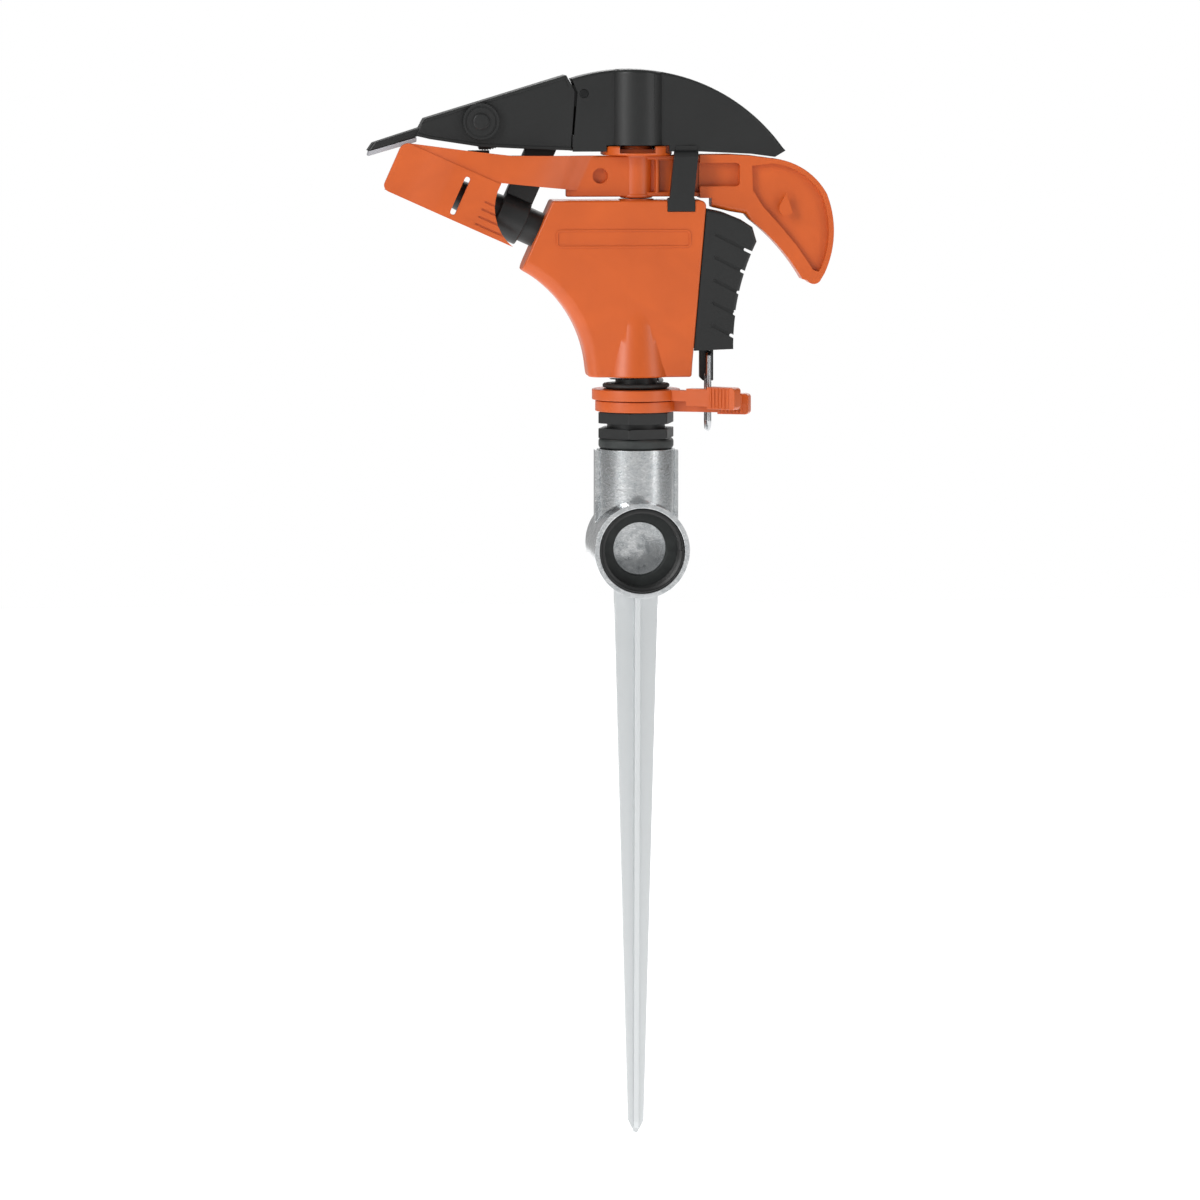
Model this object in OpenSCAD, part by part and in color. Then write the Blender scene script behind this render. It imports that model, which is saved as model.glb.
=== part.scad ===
// Part-circle impact sprinkler on a die-cast ground spike.
// Millimetres, +Z up.  Origin: axis of the spike at the ground line.
// The nozzle points towards -X, the hose inlet faces -Y.

/* [Ground spike] */
// Length of the blade below the ground line
blade_len = 185.2; // [160:0.1:210]
// Width of the blade at the ground line
blade_w = 15.7; // [14:0.1:18]
// Width of the blade near its tip
tip_w = 5.3; // [4:0.1:8]
// Thickness of the flat blade
blade_t = 2.6; // [2:0.1:4]
// Thickness of the cross rib on the blade
rib_t = 1.8; // [1.4:0.1:3]
// Height of the socket's top rim
socket_top = 49.3; // [48:0.1:50]
// Radius of the upright socket
socket_r = 13.2; // [12.8:0.1:13.8]

/* [Hose inlet] */
// Height of the inlet's axis
inlet_z = 16.5; // [16:0.1:18]
// Outer radius of the inlet tube
inlet_r = 16; // [15.5:0.1:17]
// Distance from the axis to the inlet's mouth
inlet_reach = 24; // [22:0.5:30]
// Radius of the wall inside the female 3/4 inch hose thread
hose_thread_r = 12.4; // [12.3:0.05:12.6]
// Depth from the mouth to the washer
washer_depth = 9; // [8:0.5:10]

/* [Bearing] */
// Radius across the corners of the bearing nut's hexagons
nut_corner_r = 13.6; // [13:0.1:14]
// Radius of the neck that the collars turn on
journal_r = 10.5; // [10:0.1:11]
// Outer radius of the turning water tube
spindle_r = 7; // [6.5:0.1:7.2]
// Running clearance of the turning fits, on the radius
fit = 0.05; // [0.03:0.01:0.08]

/* [Arc collars] */
// Outer radius of the upper ring
upper_ring_r = 14.9; // [14.5:0.1:15.5]
// Outer radius of the lower ring
lower_ring_r = 13.8; // [13.5:0.1:14.5]
// Bearing of the upper finger tab, stored beside the wire
upper_tab_angle = -35; // [-45:1:-34]
// Bearing of the lower finger tab, stored beside the wire
lower_tab_angle = -18; // [-19:1:-17]
// Radius where a tab ends
tab_end_r = 39.2; // [36:0.1:41]

/* [Head] */
// Elevation of the jet
jet_tilt = 24.1; // [23:0.1:25]
// Height where the jet's line crosses the turning axis
jet_z = 108.2; // [107:0.1:109]
// Half the thickness of the housing's flat part
housing_half = 9; // [8.5:0.1:9.4]
// Radius of the nozzle at its root
nozzle_r = 6; // [5.8:0.1:6.2]
// Radius of the arm's pivot pin
pin_r = 2; // [1.8:0.1:2.2]
// Radius of the cap's dome, seen from the side
dome_r = 64; // [63:0.5:65]
// Half the width of the cap and of the flap
cap_half = 6.8; // [6.5:0.1:7]

/* [Hidden] */
$fn = 64;

orange = "#D3672B";
black = "#303231";
zinc = "#D0D3D5";
steel = "#B8BBBE";
e = 0.01; // overlap that joins two solids of one piece
gap = 0.3; // air between pieces that move past each other
wall = 1.6; // wall of the moulded covers

// Axial stack above the socket
seal_top = 53;
hex_low_top = 56.3;
hex_high_bottom = 58;
hex_high_top = 61.7;
ring_h = 3.6;
lower_ring_z = hex_high_top + gap;
upper_ring_z = lower_ring_z + ring_h + gap;
journal_top = upper_ring_z + ring_h + 0.1;
washer_z = journal_top + gap;
washer_top = washer_z + 1.5;
housing_bottom = 73.8;
spring_seat_z = 79;
spindle_top = 96;
spindle_bore_r = 5;
nut_thread_r = 10.6;
nut_bottom = 44;
flange_z = 38;
flange_r = 9.2;
socket_bore_bottom = 37;
passage_r = 8;
coupling_r = 14.3;
washer_hole_r = 8.9;
washer_t = 3;

// Head frame: "along" runs with the jet, "across" is square to it, both in the XZ plane
face_along = 36.5;
nozzle_end = 72;
nozzle_tip_r = 4.5;
hood_start = 42.7;
hood_end = 90.4;
hood_low = -8.5;
hood_high = 8.4;

// Cap and arm heights
hub_r = 5.6;
hub_bottom = 133.8;
arm_low = 134.3;
arm_top = 148;
cup_r = 12;
cup_z = 148.2;
cup_top = 151.3;
cap_low = 149.5;
cap_over_hub = 151.6;
dome_x = -2.4;
dome_z = 113;
spring_case_r = 10.5;
spring_room_r = 8.9;
spring_room_top = 168;
flap_pivot = [-18.1, 168.9];
flap_pin_r = 1.5;
cam_centre = [-52.8, 159.7];
cam_axle_r = 1.5;
// the cam's edge is a snail that climbs by cam_rise over cam_turn degrees
cam_low_r = 9.6;
cam_rise = 3;
cam_turn = 100;

// Trip gear
trip_pin_z = 108;
trip_pin_r = 1.5;
bail_pivot = [24.3, 81.3];
wire_r = 0.95;
wire_leg_y = 3;
wire_bottom = 54.9;
blade_y = 1.3;

function arc(c, r, a0, a1, n = 16) =
    [for (i = [0:n]) let (a = a0 + (a1 - a0) * i / n) [c[0] + r * cos(a), c[1] + r * sin(a)]];

// Side view point given along and across the jet
function head_xz(along, across) =
    [-along * cos(jet_tilt) + across * sin(jet_tilt), jet_z + along * sin(jet_tilt) + across * cos(jet_tilt)];

// Both sides of a wall whose middle follows a path
function unit(v) = v / norm(v);
function path_dir(p, i) = unit(p[min(i + 1, len(p) - 1)] - p[max(i - 1, 0)]);
function side(p, d) = [for (i = [0:len(p) - 1]) let (t = path_dir(p, i)) p[i] + d * [-t[1], t[0]]];
function reversed(p) = [for (i = [len(p) - 1:-1:0]) p[i]];
function band(p, inner, outer) = concat(side(p, inner), reversed(side(p, -outer)));

// Side outline [x, z] made solid between two distances y
module slab(points, y0, y1) {
    translate([0, y1, 0]) rotate([90, 0, 0]) linear_extrude(y1 - y0) polygon(points);
}

// Cylinder along Y
module bar_y(x, z, r, y0, y1) {
    translate([x, y1, z]) rotate([90, 0, 0]) cylinder(r = r, h = y1 - y0);
}

// Puts a shape drawn along +Z onto the jet's line
module on_jet() {
    translate([0, 0, jet_z]) rotate([0, jet_tilt - 90, 0]) children();
}

// Plan outline [along, y] made solid between two distances across the jet
module jet_wall(points, low, high) {
    on_jet() translate([low, 0, 0]) rotate([90, 0, 90]) linear_extrude(high - low)
        polygon([for (p = points) [p[1], p[0]]]);
}

// Coil spring: a swept ring of wire with its ends closed
module coil(mean_r, r, z0, z1, turns, steps = 20, sides = 6) {
    n = turns * steps;
    rise = z1 - z0 - 2 * r;
    points = [for (i = [0:n]) let (a = 360 * i / steps) for (j = [0:sides - 1])
        let (b = 360 * j / sides, d = mean_r + r * cos(b))
            [d * cos(a), d * sin(a), z0 + r + rise * i / n + r * sin(b)]];
    skin = [for (i = [0:n - 1]) for (j = [0:sides - 1])
        let (k = (j + 1) % sides) [i * sides + k, i * sides + j, (i + 1) * sides + j, (i + 1) * sides + k]];
    ends = [[for (j = [sides - 1:-1:0]) j], [for (j = [0:sides - 1]) n * sides + j]];
    polyhedron(points, concat(skin, [reversed(ends[0]), reversed(ends[1])]), convexity = 8);
}

module washer(r, hole, z, h) {
    translate([0, 0, z]) difference() {
        cylinder(r = r, h = h);
        translate([0, 0, -1]) cylinder(r = hole, h = h + 2);
    }
}

// ---- Ground spike ----

function blade_outline(shoulder) = concat(
    [[-blade_w / 2, shoulder], [-tip_w / 2, 4.5 - blade_len]],
    arc([0, 4.5 - blade_len], tip_w / 2, 180, 230, 4), [[0, -blade_len]],
    arc([0, 4.5 - blade_len], tip_w / 2, 310, 360, 4), [[blade_w / 2, shoulder]]);

module ground_spike() {
    side_rib = 14.1;
    color(zinc) difference() {
        union() {
            slab(blade_outline(inlet_z), -blade_t / 2, blade_t / 2);
            rotate([0, 0, 90]) slab(blade_outline(inlet_z), -rib_t / 2, rib_t / 2);
            bar_y(0, inlet_z, inlet_r, -inlet_reach, 14);
            translate([0, 0, inlet_z]) cylinder(r = socket_r, h = socket_top - inlet_z);
            translate([-side_rib, -3, inlet_z]) cube([2 * side_rib, 6, socket_top - inlet_z - 0.5]);
        }
        bar_y(0, inlet_z, coupling_r, -inlet_reach - 1, washer_depth + washer_t - inlet_reach);
        bar_y(0, inlet_z, washer_hole_r, -inlet_reach, 9);
        translate([0, 0, inlet_z]) cylinder(r = passage_r, h = 40);
        translate([0, 0, socket_bore_bottom]) cylinder(r = nut_thread_r, h = 20);
    }
}

module inlet_coupling() {
    back = washer_depth - inlet_reach;
    color(black) difference() {
        bar_y(0, inlet_z, coupling_r, -inlet_reach - 0.2, back);
        bar_y(0, inlet_z, hose_thread_r, -inlet_reach - 1, back + 1);
    }
}

module hose_washer() {
    front = washer_depth - inlet_reach;
    color("#26282A") difference() {
        bar_y(0, inlet_z, coupling_r, front, front + washer_t);
        bar_y(0, inlet_z, washer_hole_r, front - 1, front + washer_t + 1);
    }
}

module socket_seal() {
    h = seal_top - socket_top;
    round = 1.2;
    color("#232526") translate([0, 0, socket_top]) rotate_extrude() polygon(concat(
        [[nut_thread_r, 0]], arc([12.7 - round, round], round, -90, 0, 6),
        arc([12.7 - round, h - round], round, 0, 90, 6), [[nut_thread_r, h]]));
}

module bearing_nut() {
    hex_turn = 15.3;
    waist_r = 9.8;
    color(black) difference() {
        union() {
            translate([0, 0, nut_bottom]) cylinder(r = nut_thread_r, h = seal_top - nut_bottom);
            translate([0, 0, seal_top - e]) cylinder(r = waist_r, h = hex_high_top - seal_top);
            rotate([0, 0, hex_turn]) {
                translate([0, 0, seal_top]) cylinder(r = nut_corner_r, h = hex_low_top - seal_top, $fn = 6);
                translate([0, 0, hex_high_bottom])
                    cylinder(r = nut_corner_r, h = hex_high_top - hex_high_bottom, $fn = 6);
            }
            translate([0, 0, hex_high_top - e]) cylinder(r = journal_r, h = journal_top - hex_high_top + e);
        }
        translate([0, 0, nut_bottom - 1]) cylinder(r = spindle_r + fit, h = 40);
    }
}

// ---- Arc collars ----

module collar(ring_r, ring_z, angle, tab_low, tab_high) {
    neck_w = 4;
    grip_w = 5.4;
    grip_r = 28.5;
    difference() {
        union() {
            translate([0, 0, ring_z]) cylinder(r = ring_r, h = ring_h);
            rotate([0, 0, angle]) {
                translate([journal_r + 1, -neck_w / 2, ring_z]) cube([grip_r - journal_r, neck_w, ring_h]);
                translate([20.5, -neck_w / 2, tab_low + 0.8]) cube([9, neck_w, tab_high - tab_low - 1.6]);
                translate([grip_r, -grip_w / 2, tab_low]) cube([tab_end_r - grip_r, grip_w, tab_high - tab_low]);
            }
        }
        translate([0, 0, ring_z - 1]) cylinder(r = journal_r + fit, h = ring_h + 2);
    }
}

module lower_collar() {
    color(orange) collar(lower_ring_r, lower_ring_z, lower_tab_angle, 61.4, 68.4);
}

module upper_collar() {
    color(orange) collar(upper_ring_r, upper_ring_z, upper_tab_angle, 63.6, 71);
}

// ---- Turning bearing ----

module spindle_tube() {
    color(black) difference() {
        union() {
            translate([0, 0, flange_z]) cylinder(r = spindle_r, h = spindle_top - flange_z);
            translate([0, 0, flange_z]) cylinder(r = flange_r, h = 2.6);
        }
        translate([0, 0, flange_z - 1]) cylinder(r = spindle_bore_r, h = 80);
    }
}

module thrust_washers() {
    color("white") for (z = [40.7, 42.3]) washer(flange_r, spindle_r, z, 1.4);
}

module bearing_washer() {
    color("#26282A") washer(11.3, spindle_r, washer_z, washer_top - washer_z);
}

module bearing_spring() {
    color(steel) coil(8.5, 0.85, washer_top, spring_seat_z, 2.5);
}

// ---- Head ----

housing_outline = concat(
    [head_xz(face_along, 11), head_xz(face_along, -16.1)],
    arc([-58.7, 72.9], 41.7, 61.5, 5, 16), [[-16.7, housing_bottom],
    [18, housing_bottom], [18.3, 78.6], [22.9, 131.4], [21.6, 133.2]]);

// Pocket for the foot of the near leg, open to the front and the top
foot_low = 129.5;
foot_x = [9.9, 19];
foot_y = [-9.4, -6.2];

module housing() {
    boss_r = 5.9;
    neck_r = 13;
    color(orange) difference() {
        union() {
            slab(housing_outline, -housing_half, housing_half);
            translate([0, 0, housing_bottom]) cylinder(r1 = neck_r, r2 = housing_half, h = 28);
            translate([0, 0, 130]) cylinder(r = boss_r, h = hub_bottom - gap - 130);
            translate([17.5, 0, trip_pin_z]) rotate([0, 90, 0]) cylinder(r = 4, h = 3.4);
        }
        translate([0, 0, housing_bottom - 1]) cylinder(r = 9.8, h = spring_seat_z - housing_bottom + 1);
        translate([0, 0, housing_bottom]) cylinder(r = spindle_r, h = spindle_top - housing_bottom);
        translate([0, 0, housing_bottom]) cylinder(r = spindle_bore_r, h = jet_z - housing_bottom);
        translate([0, 0, jet_z]) sphere(r = spindle_bore_r);
        on_jet() cylinder(r = spindle_bore_r, h = face_along);
        on_jet() translate([0, 0, 24]) cylinder(r = nozzle_r, h = 20);
        translate([0, 0, 124]) cylinder(r = pin_r, h = 12);
        translate([15, 0, trip_pin_z]) rotate([0, 90, 0]) cylinder(r = trip_pin_r, h = 12);
        translate([foot_x[0] - 0.15, foot_y[0] - 2, foot_low - 0.15])
            cube([foot_x[1] - foot_x[0] + 0.3, foot_y[1] - foot_y[0] + 2, 8]);
    }
}

module nozzle() {
    taper_start = 52;
    color(black) on_jet() difference() {
        union() {
            translate([0, 0, 24]) cylinder(r = nozzle_r, h = taper_start - 24);
            translate([0, 0, taper_start - e])
                cylinder(r1 = nozzle_r, r2 = nozzle_tip_r, h = nozzle_end - taper_start + e);
        }
        translate([0, 0, 23]) cylinder(r = 3.6, h = 36);
        translate([0, 0, 58]) cylinder(r1 = 3.6, r2 = 2.1, h = nozzle_end - 58);
        translate([0, 0, nozzle_end - 3]) cylinder(r = 2.1, h = 5);
        translate([0, 0, 28]) difference() {
            cylinder(r = nozzle_r + 1, h = 2);
            translate([0, 0, -1]) cylinder(r = nozzle_r - 1.2, h = 4);
        }
    }
}

module nozzle_seal() {
    color("#232526") on_jet() translate([0, 0, 29]) rotate_extrude() translate([nozzle_r - 0.62, 0])
        circle(r = 0.58, $fn = 24);
}

// ---- Cap that bridges the arm ----

function dome(r, x0, x1, n = 20) = [for (i = [0:n]) let (x = x0 + (x1 - x0) * i / n)
    [x, dome_z + sqrt(r * r - (x - dome_x) * (x - dome_x))]];

cap_outline = concat([[-21.9, cap_low], [-20.3, 169.4]], dome(dome_r, -22.2, 49.6),
    [[50.2, 149.6], [46.6, 147.5], [38.3, 148.6], [20, cap_low]]);

module cap_plan(inset) {
    w = cap_half - inset;
    tip = 3.2 - inset;
    translate([0, 0, 140]) linear_extrude(40)
        polygon([[-30, -w], [12, -w], [51 - inset, -tip], [51 - inset, tip], [12, w], [-30, w]]);
}

module cap_shell() {
    difference() {
        union() {
            intersection() {
                slab(cap_outline, -20, 20);
                cap_plan(0);
            }
            intersection() {
                slab(dome_room(0), -20, 20);
                translate([0, 0, cap_over_hub]) cylinder(r = spring_case_r, h = 40);
            }
        }
        // room for the arm's cup, then for its spring
        translate([0, 0, 140]) cylinder(r = cup_r + 0.6, h = cap_over_hub - 140);
        translate([0, 0, 140]) cylinder(r = spring_room_r, h = spring_room_top - 140);
        // hollow tail and hollow front
        intersection() {
            slab(concat([[15, 140]], [[15, 167]], dome(dome_r - wall, 15, 45), [[46, 140]]), -20, 20);
            cap_plan(wall);
        }
        intersection() {
            slab(concat([[-30, 140], [-30, 172]], dome(dome_r - wall, -22, -12, 4), [[-12, 140]]), -20, 20);
            cap_plan(wall);
        }
    }
    // boss that holds the pivot pin
    translate([0, 0, 162]) cylinder(r = 4, h = 8);
}

function dome_room(d) = concat([[-14, 140]], dome(dome_r - d, -14, 14, 10), [[14, 140]]);

module near_leg() {
    slab([[12.2, 151.2], [20.4, 151.2], [18.7, 134], [foot_x[1], 134], [foot_x[1], foot_low],
        [foot_x[0], foot_low], [foot_x[0], 134], [10.6, 134]], foot_y[0], foot_y[1]);
    translate([12.8, foot_y[0] + 1.2, 149.5]) cube([7, foot_y[1] - foot_y[0] - 0.6, 4]);
}

module far_leg() {
    leg_along = [41.8, 51.4];
    intersection() {
        slab([head_xz(leg_along[0], 4), head_xz(leg_along[1], 4), head_xz(leg_along[1], 40),
            head_xz(leg_along[0], 40)], -2.5, 4.5);
        translate([-60, -10, 120]) cube([60, 20, 34.8]);
    }
    translate([-39, -2.5, 151]) cube([20, 7, 3.8]);
    // shelf that the cam wheel's edge bears on, on a bar from the leg
    translate([-56.5, 0, 145.4]) cube([22, 3.6, 2.6]);
    translate([-56.5, 0, 145.4]) cube([7, 3.6, cam_centre[1] - cam_low_r - gap - 145.4]);
    slab([[-22, 151], [-13, 151], [-13, 156], [-22, 154.8]], -cap_half + e, cap_half - e);
    on_jet() translate([0, 0, leg_along[0]]) cylinder(r = 7.7, h = leg_along[1] - leg_along[0]);
}

module top_cap() {
    color(black) difference() {
        union() {
            cap_shell();
            near_leg();
            far_leg();
        }
        on_jet() cylinder(r = nozzle_r, h = 60);
        cylinder(r = pin_r, h = 169);
        bar_y(flap_pivot[0], flap_pivot[1], flap_pin_r, -10, 10);
    }
}

module fulcrum_pin() {
    color(steel) translate([0, 0, 124]) cylinder(r = pin_r, h = 45);
}

module arm_spring() {
    color(steel) coil(7.2, 0.6, cap_over_hub + gap, spring_room_top, 7);
}

module flap_pivot_pin() {
    color(steel) bar_y(flap_pivot[0], flap_pivot[1], flap_pin_r, -cap_half, cap_half);
}

// ---- Trip gear behind the housing ----

cover_half = 8.2;
cover_outline = concat([[18.9, 82.6], [23.1, 130.2], [29, 129], [34.6, 126.7], [38.6, 124.1]],
    [[40.4, 121.8]], arc([113.6, 84.1], 81.5, 154.5, 180.7, 10));

module rear_cover() {
    room = [[10, 80], [10, 140], [28, 140], [28, 126.4], [33.4, 124.6], [37.4, 121.5], [34.3, 111],
        [32, 100], [30.8, 90], [30.3, 80]];
    groove_pitch = 7.2;
    color(black) difference() {
        slab(cover_outline, -cover_half, cover_half);
        slab(room, -cover_half + wall, cover_half - wall);
        for (i = [0:4]) translate([37.5 - 1.2 * i, 0, 115.9 - groove_pitch * i]) rotate([0, 27, 0])
            translate([-2, -cover_half - 1, -0.5]) cube([8, 2 * cover_half + 2, 1]);
        translate([20, 0, trip_pin_z]) rotate([0, 90, 0]) cylinder(r = trip_pin_r, h = 14.2);
    }
}

module trip_pivot_pin() {
    color(steel) translate([16, 0, trip_pin_z]) rotate([0, 90, 0]) cylinder(r = trip_pin_r, h = 18.2);
}

module trip_lever() {
    hub_x = [21.3, 27.5];
    color(black) difference() {
        union() {
            translate([hub_x[0], 0, trip_pin_z]) rotate([0, 90, 0])
                cylinder(r = 3.4, h = hub_x[1] - hub_x[0]);
            translate([21.4, -blade_y, 72.1]) cube([4.7, 2 * blade_y, trip_pin_z - 72.1 - 2.2]);
            translate([23.4, -blade_y, trip_pin_z + 2]) cube([3.6, 2 * blade_y, 18.6]);
        }
        translate([15, 0, trip_pin_z]) rotate([0, 90, 0]) cylinder(r = trip_pin_r + fit, h = 20);
        bar_y(bail_pivot[0], bail_pivot[1], wire_r + fit, -4, 4);
    }
}

module trip_spring() {
    color(steel) translate([27.9, 0, trip_pin_z]) rotate([0, 90, 0]) coil(2.2, 0.35, 0, 3.4, 3.5, 16, 5);
}

module trip_wire() {
    loop_z = wire_bottom + wire_r + wire_leg_y;
    color(steel) {
        for (s = [-1, 1]) {
            translate([bail_pivot[0], s * wire_leg_y, loop_z])
                cylinder(r = wire_r, h = bail_pivot[1] - loop_z, $fn = 24);
            translate([bail_pivot[0], s * wire_leg_y, bail_pivot[1]]) sphere(r = wire_r, $fn = 24);
        }
        bar_y(bail_pivot[0], bail_pivot[1], wire_r, -wire_leg_y, wire_leg_y);
        translate([bail_pivot[0], 0, loop_z]) rotate([0, 90, 0]) rotate([0, 0, -90])
            rotate_extrude(angle = 180) translate([wire_leg_y, 0]) circle(r = wire_r, $fn = 24);
    }
}

// ---- Impact arm ----

// Middle of the arm's curved wall in plan: along the jet, and towards the near side
wall_path = [[4, -3], [26, -3], [33, -4.8], [38, -8], [43, -10.1], [48, -11], [54, -11.4],
    [68, -11.4], [74, -10.6], [82, -8.8], [hood_end + 2, -7]];
vane_path = [[70, -11], [76, -8.4], [81, -4.4], [85, 0], [88, 5]];

arm_left_outline = concat([[0, arm_top], [-42.8, arm_top + 0.3], [-59.1, 150.2]],
    [head_xz(hood_end, hood_high), head_xz(hood_end, hood_low), head_xz(hood_start, hood_low)],
    arc([-31.9, 130.8], 3.5, 170, 90, 6), [[0, arm_low]]);

fin_outline = concat([[21, 148.4], [31.5, 148.4], [38.3, 148]], arc([43.8, 123.9], 23.2, 86, 28, 12),
    arc([32.75, 122.5], 33.7, 21, -25, 10), arc([59.8, 107.3], 2.6, -20, -150, 8),
    arc([-4.1, 71.2], 69.6, 30.5, 52.8, 10), [[36.4, 128.4], [31, 129.3], [25.1, 130.7],
    [25.1, 133.8], [21, 133.8]]);

module arm_right() {
    flange = 1.5;
    web = 1.9;
    beam_half = 4.2;
    // beam with a recess on either side, behind the near leg
    slab([[0, arm_low], [22, arm_low], [22, 148.2], [0, 148.2]], -web, web);
    for (z = [arm_low, 148.2 - flange])
        translate([3, -beam_half, z]) cube([19, 2 * beam_half, flange]);
    // tail: thick round fin and box, thin web between the beam and the fin
    difference() {
        slab(fin_outline, -5, 5);
        for (s = [-1, 1]) translate([21, s * 5 - 2.6, 137.7]) cube([13.6, 5.2, 7.9]);
    }
}

module arm() {
    color(orange) difference() {
        union() {
            intersection() {
                slab(arm_left_outline, -20, 20);
                union() {
                    jet_wall(band(wall_path, 1, 1), -20, 60);
                    jet_wall(band(wall_path, 1, 1.6), -20, 9);
                }
            }
            intersection() {
                slab(arm_left_outline, -20, 20);
                jet_wall(band(vane_path, 0.9, 0.9), hood_low, 4);
            }
            translate([-24, -4.8, arm_low]) cube([22, 3.8, arm_top - arm_low]);
            translate([0, 0, hub_bottom]) cylinder(r = hub_r, h = cup_top - hub_bottom);
            translate([0, 0, cup_z]) cylinder(r = cup_r, h = cup_top - cup_z);
            arm_right();
        }
        translate([0, 0, 120]) cylinder(r = 3.2, h = 40);
        bar_y(-12.5, 141.3, 2.6, -6, -2.4);
        // slot in the hood
        on_jet() translate([-6.8, -20, 64.9]) cube([13.6, 20, 1.9]);
    }
}

module arm_bushing() {
    color("white") washer(3.2, pin_r + fit, hub_bottom, cup_top - hub_bottom);
}

// ---- Range flap and its cam wheel ----

flap_outline = [[-21.1, 169.6], [-24.1, 175.1], [-71.6, 160.6], [-73.3, 157.6], [-74.6, 154.9],
    [-69.9, 153.8], [-53.6, 151.3], [-38.2, 150.5], [-22.4, 149.9]];

module flap_lever() {
    room = [[-19, 140], [-19, 174.5], [-24.7, 173.2], [-69.3, 159.6], [-71.2, 157], [-71.2, 140]];
    ear = [[-25, 163.5], [-15.6, 166], [-15.6, 170.6], [-25, 172.4]];
    inner = cap_half - wall;
    color(black) difference() {
        union() {
            difference() {
                slab(flap_outline, -cap_half, cap_half);
                slab(room, -inner, inner);
            }
            slab([[-71.6, 158.4], [-73.1, 157.6], [-88.9, 152.5], [-90.7, 149.9], [-73, 155]], -5.5, 5.5);
            for (s = [-1, 1]) slab(ear, s * 4 - 0.8, s * 4 + 0.8);
            for (s = [-1, 1]) slab([[-25.6, 163.5], [-22.2, 164.3], [-22.2, 171.4], [-25.6, 173]],
                s * 5 - 0.6, s * 5 + 0.6);
        }
        bar_y(flap_pivot[0], flap_pivot[1], flap_pin_r + fit, -8, 8);
        bar_y(cam_centre[0], cam_centre[1], cam_axle_r, -8, 8);
        bar_y(cam_centre[0], cam_centre[1], 3.4 + fit, -8, -3);
    }
}

module deflector_plate() {
    color("#A5A5A8") slab([[-74.2, 154.48], [-90.2, 149.85], [-90.6, 148.1], [-74.2, 152.88]], -5.2, 5.2);
}

module cam_axle() {
    color(black) {
        bar_y(cam_centre[0], cam_centre[1], cam_axle_r, -9, cap_half);
        bar_y(cam_centre[0], cam_centre[1], 2.7, -9.6, -8.9);
    }
}

module cam_wheel() {
    snail = concat([for (i = [0:10]) let (a = -90 + cam_turn * i / 10, r = cam_low_r + cam_rise * i / 10)
        r * [cos(a), sin(a)]], arc([0, 0], 4.2, 40, 230, 12));
    color(black) translate([cam_centre[0], 0, cam_centre[1]]) rotate([90, 0, 0]) difference() {
        union() {
            translate([0, 0, -4.4]) linear_extrude(7.4) polygon(snail);
            cylinder(r = 3.4, h = 7.4);
            translate([0, 0, cap_half + gap]) cylinder(r = 6.3, h = 1.5);
        }
        translate([0, 0, -10]) cylinder(r = cam_axle_r + fit, h = 25);
    }
}

ground_spike();
inlet_coupling();
hose_washer();
socket_seal();
bearing_nut();
lower_collar();
upper_collar();
spindle_tube();
thrust_washers();
bearing_washer();
bearing_spring();
housing();
nozzle();
nozzle_seal();
top_cap();
fulcrum_pin();
arm_spring();
flap_pivot_pin();
rear_cover();
trip_pivot_pin();
trip_spring();
arm();
arm_bushing();
trip_lever();
trip_wire();
flap_lever();
deflector_plate();
cam_axle();
cam_wheel();
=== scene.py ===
import math

import bmesh
import bpy
from mathutils import Matrix, Vector


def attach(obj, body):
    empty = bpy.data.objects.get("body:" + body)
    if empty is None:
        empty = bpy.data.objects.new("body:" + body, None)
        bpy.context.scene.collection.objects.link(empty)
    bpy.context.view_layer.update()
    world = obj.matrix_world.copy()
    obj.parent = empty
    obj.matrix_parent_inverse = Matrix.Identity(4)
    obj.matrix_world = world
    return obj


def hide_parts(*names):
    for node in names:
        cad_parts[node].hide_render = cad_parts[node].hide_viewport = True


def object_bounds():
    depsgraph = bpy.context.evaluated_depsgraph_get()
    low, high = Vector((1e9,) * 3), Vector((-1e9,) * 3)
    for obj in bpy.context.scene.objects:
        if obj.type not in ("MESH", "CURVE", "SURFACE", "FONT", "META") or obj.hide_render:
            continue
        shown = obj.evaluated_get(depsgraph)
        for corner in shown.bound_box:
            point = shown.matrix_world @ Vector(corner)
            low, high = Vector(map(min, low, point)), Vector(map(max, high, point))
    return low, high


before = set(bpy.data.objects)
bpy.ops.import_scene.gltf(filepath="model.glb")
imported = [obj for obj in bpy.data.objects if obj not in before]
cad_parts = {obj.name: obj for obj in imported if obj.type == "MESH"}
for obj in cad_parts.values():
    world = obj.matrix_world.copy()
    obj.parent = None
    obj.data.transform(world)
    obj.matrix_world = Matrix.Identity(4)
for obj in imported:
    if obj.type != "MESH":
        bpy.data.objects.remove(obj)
cadLow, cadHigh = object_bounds()
print("frame loaded")

mm = 0.001
jetTilt = math.radians(24.1)  # elevation of the water jet
jetHeight = 108.2  # where the jet's line crosses the turning axis
inletHeight = 16.5  # axis of the hose inlet, above the ground line
tripHeight = 108  # axis that the trip lever swings about
wirePivot = (24.3, 81.3)  # x and z of the trip wire's upper bar
flapPivot = (-18.1, 168.9)  # x and z of the range flap's pin
camCentre = (-52.8, 159.7)  # x and z of the cam wheel's axle
pinHole = 1.52  # radius of the holes that hold the small pins
fulcrumHole = 2.02  # radius of the holes that hold the arm's fulcrum pin


def activate(piece):
    if bpy.context.mode != "OBJECT":
        bpy.ops.object.mode_set(mode="OBJECT")
    bpy.ops.object.select_all(action="DESELECT")
    piece.select_set(True)
    bpy.context.view_layer.objects.active = piece


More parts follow.
